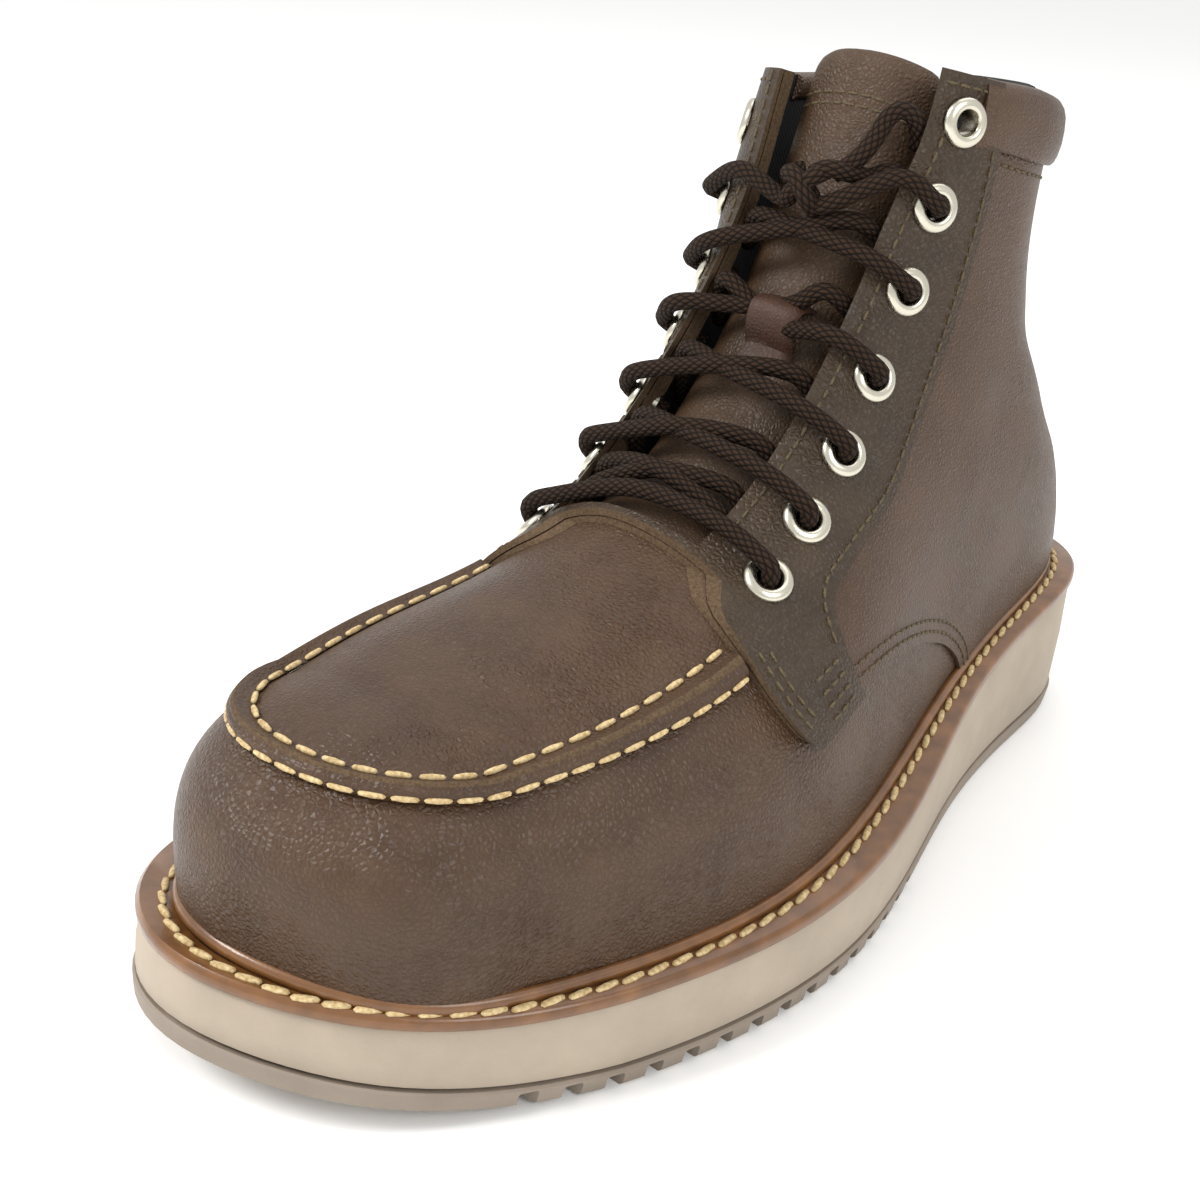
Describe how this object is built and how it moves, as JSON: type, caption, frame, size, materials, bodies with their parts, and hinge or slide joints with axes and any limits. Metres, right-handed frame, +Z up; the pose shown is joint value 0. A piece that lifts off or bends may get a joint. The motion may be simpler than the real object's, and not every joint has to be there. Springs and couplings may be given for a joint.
{
  "type": "lace-up boot",
  "caption": "Ankle-high lace-up boot with a moccasin toe, stitched welt, low wedge sole, padded collar and a laced front with metal eyelets.",
  "frame": {"origin": "on the floor, under the middle of the boot's own box", "axes": "+Z up, +Y towards the heel, -Y towards the toe, +X towards the outer side of the left foot"},
  "size_m": [0.1154, 0.3032, 0.1844],
  "materials": {
    "outsole_rubber": "matte, grey-beige",
    "midsole_foam": "matte, fine pebble",
    "welt_leather": "polished, stitched",
    "lining_fabric": "woven black lining",
    "upper_leather": "semi-gloss, pebbled grain",
    "eyelet_nickel": "polished nickel",
    "lace_cord": "round woven cord",
    "keeper_leather": "smooth",
    "pull_webbing": "woven tape"
  },
  "bodies": {
    "root": {"outsole": "outsole_rubber", "midsole": "midsole_foam", "welt": "welt_leather", "insole": "lining_fabric", "upper": "upper_leather", "tongue": "upper_leather", "facing_outer": "upper_leather", "facing_inner": "upper_leather", "collar_band": "upper_leather", "seam_ridge": "upper_leather", "eyelet_outer_1": "eyelet_nickel", "eyelet_outer_2": "eyelet_nickel", "eyelet_outer_3": "eyelet_nickel", "eyelet_outer_4": "eyelet_nickel", "eyelet_outer_5": "eyelet_nickel", "eyelet_outer_6": "eyelet_nickel", "eyelet_outer_7": "eyelet_nickel", "eyelet_inner_1": "eyelet_nickel", "eyelet_inner_2": "eyelet_nickel", "eyelet_inner_3": "eyelet_nickel", "eyelet_inner_4": "eyelet_nickel", "eyelet_inner_5": "eyelet_nickel", "eyelet_inner_6": "eyelet_nickel", "eyelet_inner_7": "eyelet_nickel", "lace_bar_1": "lace_cord", "lace_cross_1": "lace_cord", "lace_cross_2": "lace_cord", "lace_cross_3": "lace_cord", "lace_cross_4": "lace_cord", "lace_cross_5": "lace_cord", "lace_knot": "lace_cord", "lace_loop": "lace_cord", "lace_end": "lace_cord", "lace_keeper": "keeper_leather", "pull_loop": "pull_webbing"}
  },
  "joints": []
}
